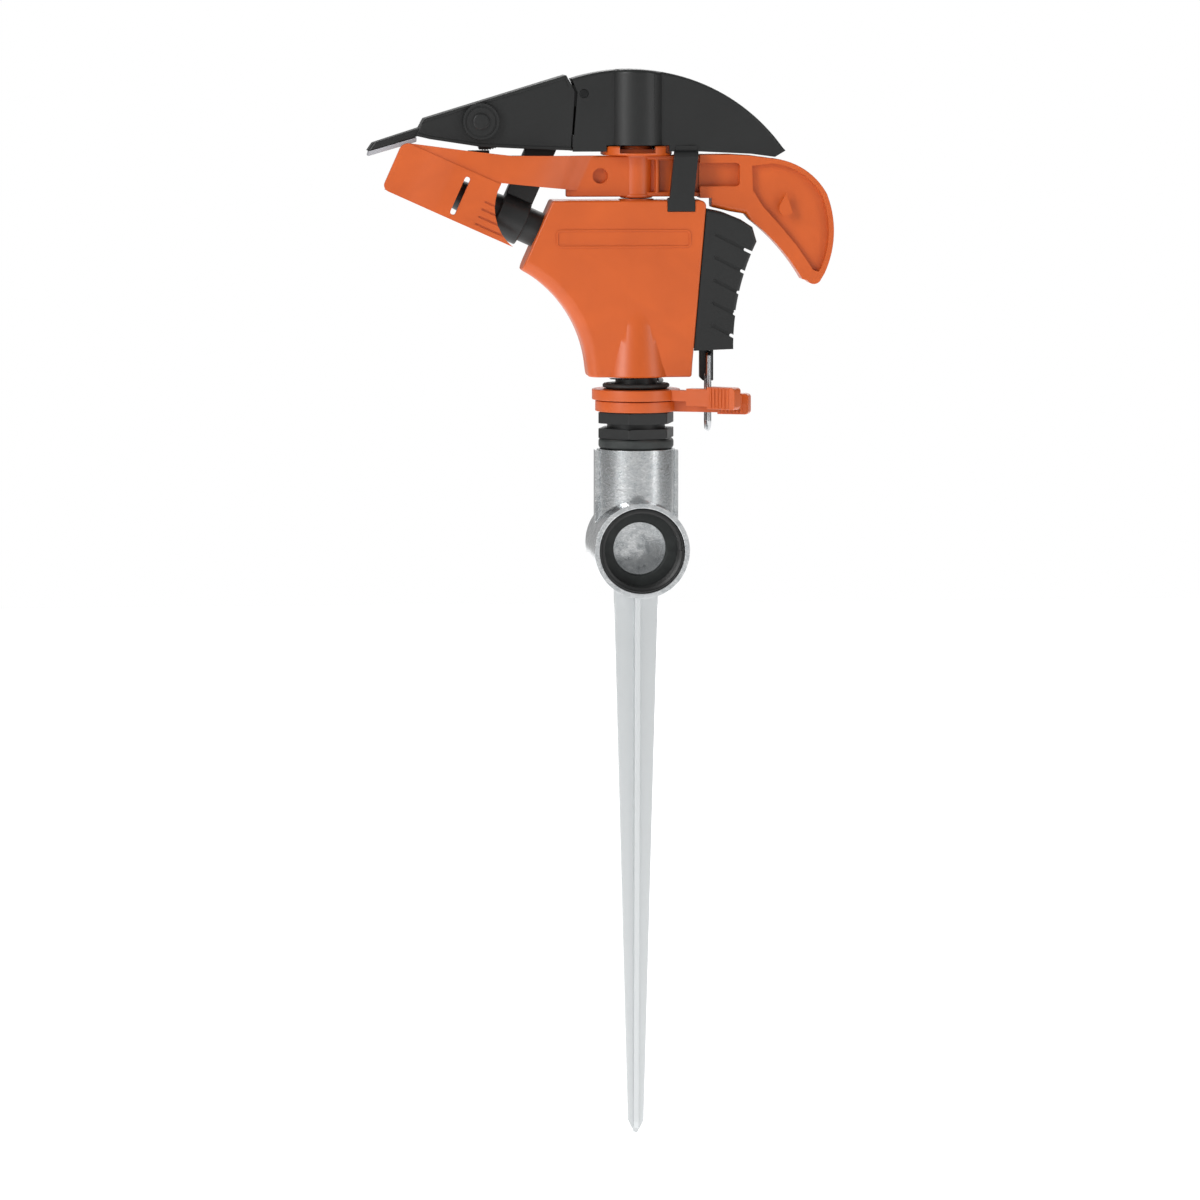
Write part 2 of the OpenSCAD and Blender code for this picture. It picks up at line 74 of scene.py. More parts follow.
def edit(piece):
    activate(piece)
    bpy.ops.object.mode_set(mode="EDIT")


def leave():
    bpy.ops.object.mode_set(mode="OBJECT")


def pick(piece, kind, test):
    # selects the vertices, edges or faces that pass a test, in edit mode
    bpy.context.tool_settings.mesh_select_mode = [kind == k for k in ("verts", "edges", "faces")]
    bpy.ops.mesh.select_all(action="DESELECT")
    mesh = bmesh.from_edit_mesh(piece.data)
    chosen = [item for item in getattr(mesh, kind) if test(item)]
    for item in chosen:
        item.select_set(True)
    mesh.select_flush_mode()
    bmesh.update_edit_mesh(piece.data)
    return len(chosen)


def tidyMesh(piece, distance=0.004):
    # merges doubled points and turns all faces outwards
    edit(piece)
    bpy.ops.mesh.select_all(action="SELECT")
    bpy.ops.mesh.remove_doubles(threshold=distance * mm)
    bpy.ops.mesh.normals_make_consistent(inside=False)
    leave()


def settle(piece):
    # leaves the object at the origin, with its place in its mesh
    activate(piece)
    bpy.ops.object.transform_apply(location=True, rotation=True, scale=True)


def place(piece, matrix):
    piece.matrix_world = matrix @ piece.matrix_world
    settle(piece)


def shifted(x=0, y=0, z=0):
    return Matrix.Translation(Vector((x, y, z)) * mm)


# local x runs with the jet, local y towards the near side, local z square to both
jetFrame = shifted(z=jetHeight) @ Matrix((
    (-math.cos(jetTilt), 0, math.sin(jetTilt), 0), (0, -1, 0, 0),
    (math.sin(jetTilt), 0, math.cos(jetTilt), 0), (0, 0, 0, 1)))
alongJet = jetFrame @ Matrix.Rotation(math.radians(90), 4, "Y")  # local z runs with the jet
alongX = Matrix.Rotation(math.radians(90), 4, "Y")  # local z runs along +X
alongY = Matrix.Rotation(math.radians(-90), 4, "X")  # local z runs along +Y, local y along -Z
inletFrame = shifted(z=inletHeight) @ alongY
tripFrame = shifted(z=tripHeight) @ alongX
flapFrame = shifted(flapPivot[0], 0, flapPivot[1]) @ alongY
camFrame = shifted(camCentre[0], 0, camCentre[1]) @ alongY


def jetPoint(along, across):
    # side view point [x, z] from its distances along and across the jet
    return (-along * math.cos(jetTilt) + across * math.sin(jetTilt),
            jetHeight + along * math.sin(jetTilt) + across * math.cos(jetTilt))


planes = {  # how an outline's two numbers lie, and the axis that it turns about
    "side": (lambda a, b, c: Vector((a, c, b)) * mm, (0, -1, 0)),
    "plan": (lambda a, b, c: Vector((a, b, c)) * mm, (0, 0, 1)),
    "front": (lambda a, b, c: Vector((c, a, b)) * mm, (1, 0, 0)),
}


def trace(name, plane, level, steps, closed=True):
    # draws an outline point by point: (a, b) is a straight run to a point,
    # (a, b, degrees, count) turns the last point about a centre
    at, axis = planes[plane]
    here = at(*steps[0], level)
    bpy.ops.object.select_all(action="DESELECT")
    bpy.ops.mesh.primitive_plane_add(size=mm, location=here)
    piece = bpy.context.object
    piece.name = name
    settle(piece)
    edit(piece)
    bpy.context.tool_settings.mesh_select_mode = (True, False, False)
    bpy.ops.mesh.select_all(action="SELECT")
    bpy.ops.mesh.merge(type="CENTER")
    for step in steps[1:]:
        if len(step) == 2:
            there = at(*step, level)
            bpy.ops.mesh.extrude_vertices_move(TRANSFORM_OT_translate={"value": there - here})
            here = there
        else:
            a, b, degrees, count = step
            centre = at(a, b, level)
            bpy.ops.mesh.spin(steps=count, angle=-math.radians(degrees), center=centre, axis=axis)
            here = centre + Matrix.Rotation(math.radians(degrees), 3, axis) @ (here - centre)
    bpy.ops.mesh.select_all(action="SELECT")
    bpy.ops.mesh.remove_doubles(threshold=0.01 * mm)
    if closed:
        bpy.ops.mesh.edge_face_add()
    leave()
    return piece


def slab(name, plane, low, high, steps):
    # a traced outline given its thickness
    piece = trace(name, plane, low, steps)
    direction = Vector(planes[plane][0](0, 0, high - low))
    edit(piece)
    bpy.ops.mesh.select_all(action="SELECT")
    bpy.ops.mesh.extrude_region_move(TRANSFORM_OT_translate={"value": direction})
    bpy.ops.mesh.select_all(action="SELECT")
    bpy.ops.mesh.normals_make_consistent(inside=False)
    leave()
    return piece


def lathe(name, steps, count=72):
    # a profile [radius, height] turned once round +Z
    piece = trace(name, "side", 0, steps, closed=False)
    edit(piece)
    bpy.ops.mesh.select_all(action="SELECT")
    bpy.ops.mesh.spin(steps=count, angle=2 * math.pi, center=(0, 0, 0), axis=(0, 0, 1))
    leave()
    tidyMesh(piece)
    return piece


def rod(name, radius, low, high, count=48):
    # a plain round bar along +Z, for pins, holes and bosses
    bpy.ops.object.select_all(action="DESELECT")
    bpy.ops.mesh.primitive_cylinder_add(
        vertices=count, radius=radius * mm, depth=(high - low) * mm, location=(0, 0, (low + high) / 2 * mm))
    piece = bpy.context.object
    piece.name = name
    settle(piece)
    return piece


def block(name, low, high):
    bpy.ops.object.select_all(action="DESELECT")
    bpy.ops.mesh.primitive_cube_add(size=1)
    piece = bpy.context.object
    piece.name = name
    piece.scale = (Vector(high) - Vector(low)) * mm
    piece.location = (Vector(high) + Vector(low)) / 2 * mm
    settle(piece)
    return piece


def combine(piece, other, how="UNION"):
    step = piece.modifiers.new("combine", "BOOLEAN")
    step.operation = how
    step.object = other
    step.solver = "MANIFOLD"
    activate(piece)
    bpy.ops.object.modifier_apply(modifier=step.name)
    bpy.data.objects.remove(other)
    return piece


def soften(piece, width, segments=2, angle=28, clamp=True):
    # rounds every edge sharper than the angle
    edit(piece)
    bpy.ops.mesh.select_all(action="SELECT")
    bpy.ops.mesh.remove_doubles(threshold=0.01 * mm)
    bpy.ops.mesh.dissolve_limited(angle_limit=math.radians(0.5), delimit={"SHARP"})
    leave()
    step = piece.modifiers.new("soften", "BEVEL")
    step.width = width * mm
    step.segments = segments
    step.limit_method = "ANGLE"
    step.angle_limit = math.radians(angle)
    step.miter_outer = "MITER_SHARP"
    step.use_clamp_overlap = clamp
    activate(piece)
    bpy.ops.object.modifier_apply(modifier=step.name)


def roundEdges(piece, test, offset, segments=4):
    # bevels the edges that pass a test of their middle and direction, in millimetres
    def passes(edge):
        a, b = (v.co / mm for v in edge.verts)
        return test((a + b) / 2, (b - a).normalized() if a != b else Vector((0, 0, 0)))
    edit(piece)
    if pick(piece, "edges", passes):
        bpy.ops.mesh.bevel(offset=offset * mm, segments=segments, profile=0.5, affect="EDGES")
    leave()


def smoothLine(points, cuts):
    # eased points between the given ones
    line = []
    for i in range(len(points) - 1):
        a, b, c, d = (Vector(points[max(0, min(len(points) - 1, i + k))]) for k in (-1, 0, 1, 2))
        for j in range(cuts):
            t = j / cuts
            line.append((2 * b + (c - a) * t + (2 * a - 5 * b + 4 * c - d) * t ** 2
                         + (3 * b - a - 3 * c + d) * t ** 3) / 2)
    return line + [Vector(points[-1])]


def band(line, inner, outer):
    # both edges of a wall whose middle follows a line
    far, near = [], []
    for i, point in enumerate(line):
        run = (line[min(i + 1, len(line) - 1)] - line[max(i - 1, 0)]).normalized()
        across = Vector((-run.y, run.x))
        near.append(tuple(point + across * outer))
        far.append(tuple(point - across * inner))
    return near + far[::-1]


def capEnds(piece):
    edit(piece)
    bpy.ops.mesh.select_all(action="SELECT")
    bpy.ops.mesh.fill_holes(sides=0)
    leave()
    tidyMesh(piece)


def ringAt(name, radius, centre, turn, count=16):
    # one ring of points, ready to be drawn out into a bar
    bpy.ops.object.select_all(action="DESELECT")
    bpy.ops.mesh.primitive_circle_add(
        vertices=count, radius=radius * mm, location=Vector(centre) * mm,
        rotation=[math.radians(a) for a in turn])
    piece = bpy.context.object
    piece.name = name
    settle(piece)
    return piece


def coil(name, radius, wire, low, high, turns):
    # round wire wound about +Z
    piece = ringAt(name, wire, (radius, 0, low + wire), (90, 0, 0), 12)
    step = piece.modifiers.new("wind", "SCREW")
    step.angle = 2 * math.pi * turns
    step.screw_offset = (high - low - 2 * wire) * mm
    step.steps = step.render_steps = round(32 * turns)
    activate(piece)
    bpy.ops.object.modifier_apply(modifier=step.name)
    capEnds(piece)
    return piece


def done(piece, material, body, slot, *nodes, smooth=32):
    # last touches: smooth faces, finish, the body it rides on and the CAD nodes it stands for
    tidyMesh(piece, 0.002)
    activate(piece)
    bpy.ops.object.shade_smooth_by_angle(angle=math.radians(smooth))
    step = piece.modifiers.new("even", "WEIGHTED_NORMAL")
    step.keep_sharp = True
    bpy.ops.object.modifier_apply(modifier=step.name)
    piece.data.materials.clear()
    piece.data.materials.append(material)
    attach(piece, body)
    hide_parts(*nodes)
    print("piece", piece.name)


def linearColour(code):
    # sRGB hex to linear light
    parts = [int(code[i:i + 2], 16) / 255 for i in (1, 3, 5)]
    return (*(p / 12.92 if p <= 0.04045 else ((p + 0.055) / 1.055) ** 2.4 for p in parts), 1)


def addNode(tree, kind, settings={}, links={}):
    # settings fill sockets or options; links are (earlier node, its output)
    node = tree.nodes.new("ShaderNode" + kind)
    for key, value in settings.items():
        if isinstance(key, int) or key in node.inputs:
            node.inputs[key].default_value = value
        else:
            setattr(node, key, value)
    for key, (source, output) in links.items():
        tree.links.new(source.outputs[output], node.inputs[key])
    return node


def newMaterial(name):
    material = bpy.data.materials.new(name)
    material.use_nodes = True
    material.node_tree.nodes.clear()
    return material, material.node_tree


def mouldedPlastic(name, look):
    # one even colour with slow flow clouds, an eroded mould's grain and a soft sheen
    material, tree = newMaterial(name)
    at = addNode(tree, "TexCoord")
    flow = addNode(tree, "TexNoise", {"Scale": 1 / (look["flow"] * mm), "Detail": 2.0, "Distortion": 0.6},
                   {"Vector": (at, "Object")})
    grain = addNode(tree, "TexNoise", {"Scale": 1 / (look["grain"] * mm), "Detail": 3.0, "Roughness": 0.6},
                    {"Vector": (at, "Object")})
    tone = addNode(tree, "MapRange", {"From Min": 0.3, "From Max": 0.7}, {"Value": (flow, "Fac")})
    colour = addNode(tree, "Mix", {"data_type": "RGBA", 6: linearColour(look["dark"]),
                                   7: linearColour(look["light"])}, {0: (tone, "Result")})
    gloss = addNode(tree, "MapRange", {"From Min": 0.25, "From Max": 0.75, "To Min": look["rough"][0],
                                       "To Max": look["rough"][1]}, {"Value": (grain, "Fac")})
    sink = addNode(tree, "Bump", {"Strength": 1.0, "Distance": look["sink"] * mm}, {"Height": (flow, "Fac")})
    tooth = addNode(tree, "Bump", {"Strength": 1.0, "Distance": look["tooth"] * mm},
                    {"Height": (grain, "Fac"), "Normal": (sink, "Normal")})
    surface = addNode(tree, "BsdfPrincipled", {"IOR": look["ior"], "Specular IOR Level": look["shine"]},
                      {"Base Color": (colour, 2), "Roughness": (gloss, "Result"), "Normal": (tooth, "Normal")})
    addNode(tree, "OutputMaterial", {}, {"Surface": (surface, "BSDF")})
    return material


# injection-moulded ABS: saturated orange, satin, with a fine spark-eroded grain of about 0.4 mm
orangeAbs = mouldedPlastic("mouldedOrangeAbs", {
    "dark": "#BA4F10", "light": "#C45514", "flow": 16, "grain": 0.42, "rough": (0.33, 0.46),
    "sink": 0.03, "tooth": 0.016, "ior": 1.54, "shine": 0.5})
# injection-moulded acetal: near black, slightly waxy, finer grain than the ABS
blackAcetal = mouldedPlastic("mouldedBlackAcetal", {
    "dark": "#131414", "light": "#171818", "flow": 20, "grain": 0.3, "rough": (0.38, 0.52),
    "sink": 0.04, "tooth": 0.008, "ior": 1.48, "shine": 0.5})
# plain moulded polypropylene: light grey and dull
greyPolypropylene = mouldedPlastic("mouldedGreyPolypropylene", {
    "dark": "#9C9CA0", "light": "#A9A9AD", "flow": 9, "grain": 0.5, "rough": (0.5, 0.62),
    "sink": 0.03, "tooth": 0.01, "ior": 1.49, "shine": 0.4})
# turned nylon for the washers and the bush: milky white
whiteNylon = mouldedPlastic("turnedWhiteNylon", {
    "dark": "#DEDDD6", "light": "#E9E8E2", "flow": 7, "grain": 0.3, "rough": (0.42, 0.55),
    "sink": 0.02, "tooth": 0.006, "ior": 1.53, "shine": 0.45})
# pressed nitrile rubber: black with a grey bloom, dull
nitrileRubber = mouldedPlastic("pressedNitrileRubber", {
    "dark": "#242727", "light": "#303433", "flow": 5, "grain": 0.25, "rough": (0.5, 0.68),
    "sink": 0.03, "tooth": 0.01, "ior": 1.52, "shine": 0.4})


def dieCastZinc():
    # bright zinc alloy as it leaves the die: orange-peel skin on the thick top,
    # a flatter and duller skin on the blade below the ground line
    look = {"dark": "#B2B6B8", "light": "#D9DBDC", "blade": "#CED1D2", "bladeRough": 0.46,
            "patch": 2.6, "peel": 0.8, "pits": 0.25}
    material, tree = newMaterial("dieCastZinc")
    at = addNode(tree, "TexCoord")
    split = addNode(tree, "SeparateXYZ", {}, {0: (at, "Object")})
    blade = addNode(tree, "MapRange", {"From Min": 4 * mm, "From Max": -3 * mm}, {"Value": (split, "Z")})
    patch = addNode(tree, "TexNoise", {"Scale": 1 / (look["patch"] * mm), "Detail": 4.0, "Roughness": 0.62},
                    {"Vector": (at, "Object")})
    peel, pits = (addNode(tree, "TexNoise", {"Scale": 1 / (look[key] * mm), "Detail": 2.0},
                          {"Vector": (at, "Object")}) for key in ("peel", "pits"))
    tone = addNode(tree, "MapRange", {"From Min": 0.35, "From Max": 0.62}, {"Value": (patch, "Fac")})
    colour = addNode(tree, "Mix", {"data_type": "RGBA", 6: linearColour(look["dark"]),
                                   7: linearColour(look["light"])}, {0: (tone, "Result")})
    even = addNode(tree, "Mix", {"data_type": "RGBA", 7: linearColour(look["blade"])},
                   {0: (blade, "Result"), 6: (colour, 2)})
    bright = addNode(tree, "MapRange", {"From Min": 0.3, "From Max": 0.7, "To Min": 0.3, "To Max": 0.17},
                     {"Value": (patch, "Fac")})
    gloss = addNode(tree, "Mix", {"data_type": "FLOAT", 3: look["bladeRough"]},
                    {0: (blade, "Result"), 2: (bright, "Result")})
    skin = addNode(tree, "Bump", {"Strength": 0.45, "Distance": 0.04 * mm}, {"Height": (peel, "Fac")})
    fine = addNode(tree, "Bump", {"Strength": 0.5, "Distance": 0.012 * mm},
                   {"Height": (pits, "Fac"), "Normal": (skin, "Normal")})
    surface = addNode(tree, "BsdfPrincipled", {"Metallic": 1.0},
                      {"Base Color": (even, 2), "Roughness": (gloss, 0), "Normal": (fine, "Normal")})
    addNode(tree, "OutputMaterial", {}, {"Surface": (surface, "BSDF")})
    return material


def drawnSteel(name, look):
    # stainless steel drawn or ground to size: fine marks that run along one axis
    material, tree = newMaterial(name)
    at = addNode(tree, "TexCoord")
    stretch = addNode(tree, "Mapping", {"Scale": look["stretch"]}, {"Vector": (at, "Object")})
    marks = addNode(tree, "TexNoise", {"Scale": 1 / (look["marks"] * mm), "Detail": 3.0},
                    {"Vector": (stretch, 0)})
    colour = addNode(tree, "Mix", {"data_type": "RGBA", 6: linearColour(look["dark"]),
                                   7: linearColour(look["light"])}, {0: (marks, "Fac")})
    gloss = addNode(tree, "MapRange", {"To Min": look["rough"][0], "To Max": look["rough"][1]},
                    {"Value": (marks, "Fac")})
    scratch = addNode(tree, "Bump", {"Strength": 0.4, "Distance": 0.006 * mm}, {"Height": (marks, "Fac")})
    surface = addNode(tree, "BsdfPrincipled", {"Metallic": 1.0},
                      {"Base Color": (colour, 2), "Roughness": (gloss, "Result"),
                       "Normal": (scratch, "Normal")})
    addNode(tree, "OutputMaterial", {}, {"Surface": (surface, "BSDF")})
    return material


zinc = dieCastZinc()
# drawn spring wire: bright with lengthwise die marks
springWire = drawnSteel("drawnStainlessWire", {
    "dark": "#A4A6A8", "light": "#D2D4D6", "stretch": (1, 1, 0.08), "marks": 0.2, "rough": (0.16, 0.34)})
# centreless-ground rod: grey and even
groundRod = drawnSteel("groundStainlessRod", {
    "dark": "#9FA1A3", "light": "#C6C8CA", "stretch": (0.1, 1, 1), "marks": 0.15, "rough": (0.24, 0.4)})
# the same rod with a black oxide skin
blackenedRod = drawnSteel("blackenedSteelRod", {
    "dark": "#232424", "light": "#3A3B3B", "stretch": (0.1, 1, 1), "marks": 0.15, "rough": (0.35, 0.5)})
print("finishes made")


def join(piece, *others):
    # further closed shells of the same piece
    activate(piece)
    for other in others:
        other.select_set(True)
    bpy.ops.object.join()
    return piece


def cut(piece, *others):
    for other in others:
        combine(piece, other, "DIFFERENCE")


def fuse(piece, *others):
    for other in others:
        combine(piece, other)


def roundedBox(a0, b0, a1, b1, r, n=5):
    # outline of a rectangle with round corners
    return [(a0 + r, b0), (a1 - r, b0), (a1 - r, b0 + r, 90, n), (a1, b1 - r), (a1 - r, b1 - r, 90, n),
            (a0 + r, b1), (a0 + r, b1 - r, 90, n), (a0, b0 + r), (a0 + r, b0 + r, 90, n)]


def sweep(name, radius, start, turn, runs, count=16):
    # a round bar drawn along straight runs and bends (centre, axis, degrees, count)
    piece = ringAt(name, radius, start, turn, count)
    edit(piece)
    bpy.context.tool_settings.mesh_select_mode = (True, False, False)
    bpy.ops.mesh.select_all(action="SELECT")
    for run in runs:
        if len(run) == 3:
            bpy.ops.mesh.extrude_region_move(TRANSFORM_OT_translate={"value": Vector(run) * mm})
        else:
            centre, axis, degrees, steps = run
            bpy.ops.mesh.spin(steps=steps, angle=-math.radians(degrees), center=Vector(centre) * mm, axis=axis)
    leave()
    tidyMesh(piece)
    return piece


spikeLook = {"shoulder": 7.85, "tip": 2.65, "flat": 1.3, "rib": 0.9, "inlet": 16.0, "seat": 14.3,
             "socket": 13.2, "sideRib": 14.1, "round": 0.45}


def makeSpike(look):
    # cross-shaped blade, inlet tube and upright socket, cast in one
    outline = [(look["shoulder"], inletHeight), (look["tip"], -180.7), (1.75, -182.7), (0.35, -184.9),
               (-0.35, -184.9), (-1.75, -182.7), (-look["tip"], -180.7), (-look["shoulder"], inletHeight)]
    spike = slab("groundSpike", "side", -look["flat"], look["flat"], outline)
    rib = slab("crossRib", "front", -look["rib"], look["rib"], outline)
    soften(spike, 0.22, 2)
    soften(rib, 0.22, 2)
    fuse(spike, rib)
    tube = rod("inletTube", look["inlet"], -24, 14, 96)
    place(tube, inletFrame)
    fuse(tube, rod("socket", look["socket"], inletHeight, 49.3, 96),
         block("sideRibs", (-look["sideRib"], -3, inletHeight), (look["sideRib"], 3, 48.8)))
    soften(tube, look["round"], 3)
    fuse(spike, tube)
    for radius, low, high in ((look["seat"], -30, -12), (8.9, -20, 9)):
        hole = rod("inletHole", radius, low, high, 96)
        place(hole, inletFrame)
        cut(spike, hole)
    cut(spike, rod("passage", 8, inletHeight, 44, 64), rod("socketBore", 10.6, 37, 60, 64))
    roundEdges(spike, lambda at, way: at.y < -23.9
               and abs(math.hypot(at.x, at.z - inletHeight) - look["seat"]) < 0.1, 0.3, 2)
    return spike


done(makeSpike(spikeLook), zinc, "spike", "zinc_casting", "ground_spike")
print("ground spike built")


couplingLook = {"outer": 14.25, "root": 13.35, "pitch": 2.21, "mouth": -24.2, "floor": -15.0}


def makeCoupling(look):
    # threaded liner of the inlet, with a chamfered mouth
    liner = lathe("inletCoupling", [
        (look["root"], look["floor"]), (look["outer"], look["floor"]), (look["outer"], look["mouth"] + 0.5),
        (look["outer"] - 0.4, look["mouth"]), (look["root"] + 0.25, look["mouth"]),
        (look["root"], look["mouth"] + 0.3), (look["root"], look["floor"])], 96)
    turns = 3.6
    thread = ringAt("thread", 0.95, (look["root"] + 0.03, 0, look["mouth"] + 1.0), (90, 0, 0), 6)
    wind = thread.modifiers.new("wind", "SCREW")
    wind.angle = 2 * math.pi * turns
    wind.screw_offset = look["pitch"] * turns * mm
    wind.steps = wind.render_steps = round(64 * turns)
    activate(thread)
    bpy.ops.object.modifier_apply(modifier=wind.name)
    capEnds(thread)
    join(liner, thread)
    place(liner, inletFrame)
    return liner


done(makeCoupling(couplingLook), blackAcetal, "spike", "black_plastic", "inlet_coupling")
print("inlet coupling built")


ringLook = {  # turned rings: profile [radius, height], axis, finish and place in the assembly
    "hoseWasher": ([(8.9, -14.6), (9.3, -15), (14.2, -15), (14.2, -12.05), (8.9, -12.05), (8.9, -14.6)],
                   "y", nitrileRubber, "spike", "seal_rubber", "hose_washer"),
    "socketSeal": ([(10.65, 49.35), (11.5, 49.35), (11.5, 50.55, 90, 6), (12.7, 51.75), (11.5, 51.75, 90, 6),
                    (10.65, 52.95), (10.65, 49.35)], "z", nitrileRubber, "spike", "seal_rubber", "socket_seal"),
    "bearingWasher": ([(7.05, 69.95), (10.9, 69.95), (11.3, 70.35), (11.3, 71.0), (10.9, 71.35), (7.05, 71.35),
                       (7.05, 69.95)], "z", nitrileRubber, "head", "seal_rubber", "bearing_washer"),
}
for name, (profile, axis, finish, body, slot, node) in ringLook.items():
    ring = lathe(name, profile, 96)
    if axis == "y":
        place(ring, inletFrame)
    done(ring, finish, body, slot, node)
print("washers and seal built")


nutLook = {"corner": 13.6, "turn": -14.7, "waist": 9.8, "journal": 10.5, "bore": 7.06, "chamfer": 0.55}


def makeNut(look):
    # bearing nut: thread, two hexagons with chamfered corners, and the journal of the collars
    nut = lathe("bearingNut", [
        (0, 44), (10.2, 44), (10.6, 44.4), (10.6, 53.2), (look["waist"], 53.2), (look["waist"], 61.6),
        (look["journal"], 61.6), (look["journal"], 69.2), (look["journal"] - 0.35, 69.6), (0, 69.6)], 72)
    for low, high in ((53, 56.3), (58, 61.7)):
        hexagon = rod("hexagon", look["corner"], low, high, 6)
        place(hexagon, Matrix.Rotation(math.radians(look["turn"]), 4, "Z"))
        roundEdges(hexagon, lambda at, way: abs(way.z) > 0.9, 0.4, 3)
        trim = lathe("chamfer", [(0, low - 1), (look["corner"] - look["chamfer"] - 0.9, low - 1),
                                 (look["corner"] + 0.6, low + 0.9), (look["corner"] + 0.6, high - 0.9),
                                 (look["corner"] - look["chamfer"] - 0.9, high + 1), (0, high + 1)], 72)
        combine(hexagon, trim, "INTERSECT")
        fuse(nut, hexagon)
    soften(nut, 0.15, 2)
    cut(nut, rod("bore", look["bore"], 40, 75, 64))
    return nut


done(makeNut(nutLook), blackAcetal, "spike", "black_plastic", "bearing_nut")
print("bearing nut built")


collarLook = {
    "lower": {"ring": 13.8, "z": 62.0, "angle": -18, "low": 61.4, "high": 68.4},
    "upper": {"ring": 14.9, "z": 65.9, "angle": -35, "low": 63.6, "high": 71.0},
    "height": 3.6, "bore": 10.56, "neck": 1.9, "gripStart": 28.5, "gripEnd": 39.2, "gripHalf": 2.25,
    "ribs": 6, "ribPitch": 1.3, "ribRadius": 0.46}


def makeCollar(name, look, own):
    # ring with a raised neck and a ribbed finger tab
    low, high, z = own["low"], own["high"], own["z"]
    collar = rod(name, own["ring"], z, z + look["height"], 96)
    soften(collar, 0.3, 2, 40)
    half, end = look["neck"], look["gripStart"] + 0.5
    fuse(collar, block("neck", (11, -half, z), (end, half, z + look["height"])),
         block("raisedNeck", (20.5, -half, low + 0.8), (end, half, high - 0.8)))
    grip = block("grip", (look["gripStart"], -look["gripHalf"], low), (look["gripEnd"], look["gripHalf"], high))
    roundEdges(grip, lambda at, way: at.x > look["gripEnd"] - 0.1
               and abs(way.z) < 0.1 and abs(way.y) > 0.9, 1.2, 4)
    soften(grip, 0.25, 2, 40)
    for i in range(look["ribs"]):
        for side in (-1, 1):
            rib = rod("rib", look["ribRadius"], low + 0.5, high - 0.5, 12)
            place(rib, shifted(look["gripStart"] + 1.6 + look["ribPitch"] * i, side * look["gripHalf"], 0))
            fuse(grip, rib)
    fuse(collar, grip)
    cut(collar, rod("bore", look["bore"], z - 1, z + look["height"] + 1, 96))
    place(collar, Matrix.Rotation(math.radians(own["angle"]), 4, "Z"))
    return collar


lower = makeCollar("lowerCollar", collarLook, collarLook["lower"])
done(lower, orangeAbs, "lower_collar", "orange_plastic", "lower_collar")
upper = makeCollar("upperCollar", collarLook, collarLook["upper"])
done(upper, orangeAbs, "upper_collar", "orange_plastic", "upper_collar")
print("collars built")


bearingSpringLook = {"radius": 8.5, "wire": 0.82, "low": 71.45, "high": 78.95, "turns": 2.5}
done(coil("bearingSpring", *bearingSpringLook.values()), springWire, "head", "spring_steel", "bearing_spring")
print("bearing spring built")


housingLook = {"half": 9.0, "bigRound": 4.3, "edge": 0.7, "neck": 13.0, "boss": 5.9,
               "frame": (-27.6, 117.4, 17.7, 123.4), "frameWidth": 0.55, "frameRise": 0.35}


def makeHousing(look):
    # water housing: flat body with a deep hollow in front, and a round neck over the bearing
    half = look["half"]
    housing = slab("housingShell", "side", -half, half, [
        jetPoint(36.5, 11), jetPoint(36.5, -14.55), (-58.7, 72.9, -57.2, 24), (-16.7, 73.8),
        (18, 73.8), (18.3, 78.6), (22.85, 131.0), (20.9, 131.2, 86, 5), (20.3, 133.15)])
    roundEdges(housing, lambda at, way: abs(way.y) < 0.1 and at.z > 74 and at.z < 109.6
               and math.hypot(at.x + 58.7, at.z - 72.9) < 41.9, look["bigRound"], 6)
    soften(housing, look["edge"], 3)
    neck = lathe("neck", [(0, 73.8), (look["neck"] - 0.4, 73.8), (look["neck"], 74.2), (11.9, 79),
                          (10.9, 85), (9.9, 91), (8.9, 98), (0, 98)], 96)
    fuse(housing, neck, rod("boss", look["boss"], 130, 133.5, 64))
    pivot = rod("rearBoss", 4, 17.5, 20.9, 48)
    place(pivot, tripFrame)
    fuse(housing, pivot)
    foot = block("footPocket", (9.75, -12, 129.35), (19.15, -6.05, 140))
    mouth = rod("nozzleHole", 6.02, 24, 45, 64)
    place(mouth, alongJet)
    pin = rod("pivotHole", pinHole, 15, 27, 32)
    place(pin, tripFrame)
    cut(housing, rod("recess", 9.8, 70, 79, 72), rod("spindleHole", 7.01, 72, 96.02, 64), foot, mouth, pin,
        rod("pinHole", fulcrumHole, 123.9, 140, 32))
    a0, b0, a1, b1 = look["frame"]
    w = look["frameWidth"]
    rim = slab("frame", "side", -half - look["frameRise"], -half + 0.3, roundedBox(a0, b0, a1, b1, 1.6))
    cut(rim, slab("inside", "side", -half - 2, half, roundedBox(a0 + w, b0 + w, a1 - w, b1 - w, 1.6 - w)))
    soften(rim, 0.12, 2)
    fuse(housing, rim)
    return housing


done(makeHousing(housingLook), orangeAbs, "head", "orange_plastic", "housing")
print("housing built")


nozzleLook = {"radius": 6.0, "tip": 4.5, "end": 72.0, "bore": 2.1}


def makeNozzle(look):
    r, tip, end, bore = look.values()
    nozzle = lathe("nozzleTube", [
        (3.6, 24), (r, 24), (r, 28), (4.8, 28), (4.8, 30), (r, 30), (r, 52), (tip + 0.35, end - 4),
        (tip, end - 0.4), (tip - 0.4, end), (bore + 0.3, end), (bore, end - 0.3), (bore, end - 3),
        (3.6, 58), (3.6, 24)], 64)
    place(nozzle, alongJet)
    return nozzle


done(makeNozzle(nozzleLook), blackAcetal, "head", "black_plastic", "nozzle")
print("nozzle built")


capLook = {"half": 6.8, "tip": 3.2, "edge": 1.0, "wall": 1.6, "dome": (-2.4, 113), "case": 10.5,
           "footY": (-9.4, -6.2), "leg": (41.8, 51.4), "ring": 7.7}


